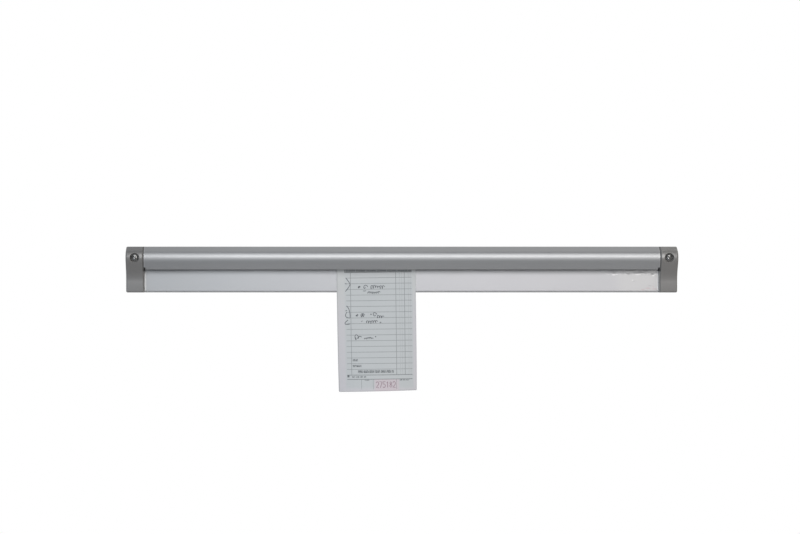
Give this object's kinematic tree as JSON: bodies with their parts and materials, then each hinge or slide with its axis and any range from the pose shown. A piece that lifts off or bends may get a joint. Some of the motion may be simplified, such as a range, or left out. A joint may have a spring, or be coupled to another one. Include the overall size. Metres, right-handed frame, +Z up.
{
  "type": "order ticket rail",
  "caption": "Wall-mounted aluminium order ticket rail: a hooded extrusion holds loose glass marbles that pinch a paper ticket against the back plate; plastic end caps are screwed to the wall.",
  "frame": {"origin": "on the wall's face, midway between the axes of the two wall screws", "axes": "+X along the rail to the right as seen from the front, +Y into the wall, +Z up"},
  "size_m": [0.61, 0.0366, 0.1609],
  "materials": {
    "anodised_aluminium": "satin clear anodised extrusion",
    "grey_plastic": "fine moulded texture",
    "plated_steel": "zinc plated",
    "marble_glass": "clear greenish glass",
    "ticket_paper": null
  },
  "bodies": {
    "rail": {"rail_extrusion": "anodised_aluminium", "end_cap_left": "grey_plastic", "end_cap_right": "grey_plastic", "wall_screw_left": "plated_steel", "wall_screw_right": "plated_steel"},
    "ticket": {"order_ticket": "ticket_paper"},
    "marble_01": {"marble_01": "marble_glass"},
    "marble_02": {"marble_02": "marble_glass"},
    "marble_03": {"marble_03": "marble_glass"},
    "marble_04": {"marble_04": "marble_glass"},
    "marble_05": {"marble_05": "marble_glass"},
    "marble_06": {"marble_06": "marble_glass"},
    "marble_07": {"marble_07": "marble_glass"},
    "marble_08": {"marble_08": "marble_glass"},
    "marble_09": {"marble_09": "marble_glass"},
    "marble_10": {"marble_10": "marble_glass"},
    "marble_11": {"marble_11": "marble_glass"},
    "marble_12": {"marble_12": "marble_glass"},
    "marble_13": {"marble_13": "marble_glass"},
    "marble_14": {"marble_14": "marble_glass"},
    "marble_15": {"marble_15": "marble_glass"},
    "marble_16": {"marble_16": "marble_glass"},
    "marble_17": {"marble_17": "marble_glass"},
    "marble_18": {"marble_18": "marble_glass"},
    "marble_19": {"marble_19": "marble_glass"},
    "marble_20": {"marble_20": "marble_glass"},
    "marble_21": {"marble_21": "marble_glass"},
    "marble_22": {"marble_22": "marble_glass"},
    "marble_23": {"marble_23": "marble_glass"},
    "marble_24": {"marble_24": "marble_glass"}
  },
  "joints": [
    {"name": "ticket_pull", "type": "slide", "parent": "rail", "child": "ticket", "axis": [0, 0, -1], "range_m": [0, 0.05]},
    {"name": "marble_01_lift", "type": "slide", "parent": "rail", "child": "marble_01", "axis": [0, -0.5, 0.866], "range_m": [0, 0.00271]},
    {"name": "marble_02_lift", "type": "slide", "parent": "rail", "child": "marble_02", "axis": [0, -0.5, 0.866], "range_m": [0, 0.00271]},
    {"name": "marble_03_lift", "type": "slide", "parent": "rail", "child": "marble_03", "axis": [0, -0.5, 0.866], "range_m": [0, 0.00271]},
    {"name": "marble_04_lift", "type": "slide", "parent": "rail", "child": "marble_04", "axis": [0, -0.5, 0.866], "range_m": [0, 0.00271]},
    {"name": "marble_05_lift", "type": "slide", "parent": "rail", "child": "marble_05", "axis": [0, -0.5, 0.866], "range_m": [0, 0.00271]},
    {"name": "marble_06_lift", "type": "slide", "parent": "rail", "child": "marble_06", "axis": [0, -0.5, 0.866], "range_m": [0, 0.00271]},
    {"name": "marble_07_lift", "type": "slide", "parent": "rail", "child": "marble_07", "axis": [0, -0.5, 0.866], "range_m": [0, 0.00271]},
    {"name": "marble_08_lift", "type": "slide", "parent": "rail", "child": "marble_08", "axis": [0, -0.5, 0.866], "range_m": [0, 0.00271]},
    {"name": "marble_09_lift", "type": "slide", "parent": "rail", "child": "marble_09", "axis": [0, -0.5, 0.866], "range_m": [0, 0.00271]},
    {"name": "marble_10_lift", "type": "slide", "parent": "rail", "child": "marble_10", "axis": [0, -0.5, 0.866], "range_m": [0, 0.00181]},
    {"name": "marble_11_lift", "type": "slide", "parent": "rail", "child": "marble_11", "axis": [0, -0.5, 0.866], "range_m": [0, 0.00181]},
    {"name": "marble_12_lift", "type": "slide", "parent": "rail", "child": "marble_12", "axis": [0, -0.5, 0.866], "range_m": [0, 0.00181]},
    {"name": "marble_13_lift", "type": "slide", "parent": "rail", "child": "marble_13", "axis": [0, -0.5, 0.866], "range_m": [0, 0.00181]},
    {"name": "marble_14_lift", "type": "slide", "parent": "rail", "child": "marble_14", "axis": [0, -0.5, 0.866], "range_m": [0, 0.00271]},
    {"name": "marble_15_lift", "type": "slide", "parent": "rail", "child": "marble_15", "axis": [0, -0.5, 0.866], "range_m": [0, 0.00271]},
    {"name": "marble_16_lift", "type": "slide", "parent": "rail", "child": "marble_16", "axis": [0, -0.5, 0.866], "range_m": [0, 0.00271]},
    {"name": "marble_17_lift", "type": "slide", "parent": "rail", "child": "marble_17", "axis": [0, -0.5, 0.866], "range_m": [0, 0.00271]},
    {"name": "marble_18_lift", "type": "slide", "parent": "rail", "child": "marble_18", "axis": [0, -0.5, 0.866], "range_m": [0, 0.00271]},
    {"name": "marble_19_lift", "type": "slide", "parent": "rail", "child": "marble_19", "axis": [0, -0.5, 0.866], "range_m": [0, 0.00271]},
    {"name": "marble_20_lift", "type": "slide", "parent": "rail", "child": "marble_20", "axis": [0, -0.5, 0.866], "range_m": [0, 0.00271]},
    {"name": "marble_21_lift", "type": "slide", "parent": "rail", "child": "marble_21", "axis": [0, -0.5, 0.866], "range_m": [0, 0.00271]},
    {"name": "marble_22_lift", "type": "slide", "parent": "rail", "child": "marble_22", "axis": [0, -0.5, 0.866], "range_m": [0, 0.00271]},
    {"name": "marble_23_lift", "type": "slide", "parent": "rail", "child": "marble_23", "axis": [0, -0.5, 0.866], "range_m": [0, 0.00271]},
    {"name": "marble_24_lift", "type": "slide", "parent": "rail", "child": "marble_24", "axis": [0, -0.5, 0.866], "range_m": [0, 0.00271]}
  ]
}
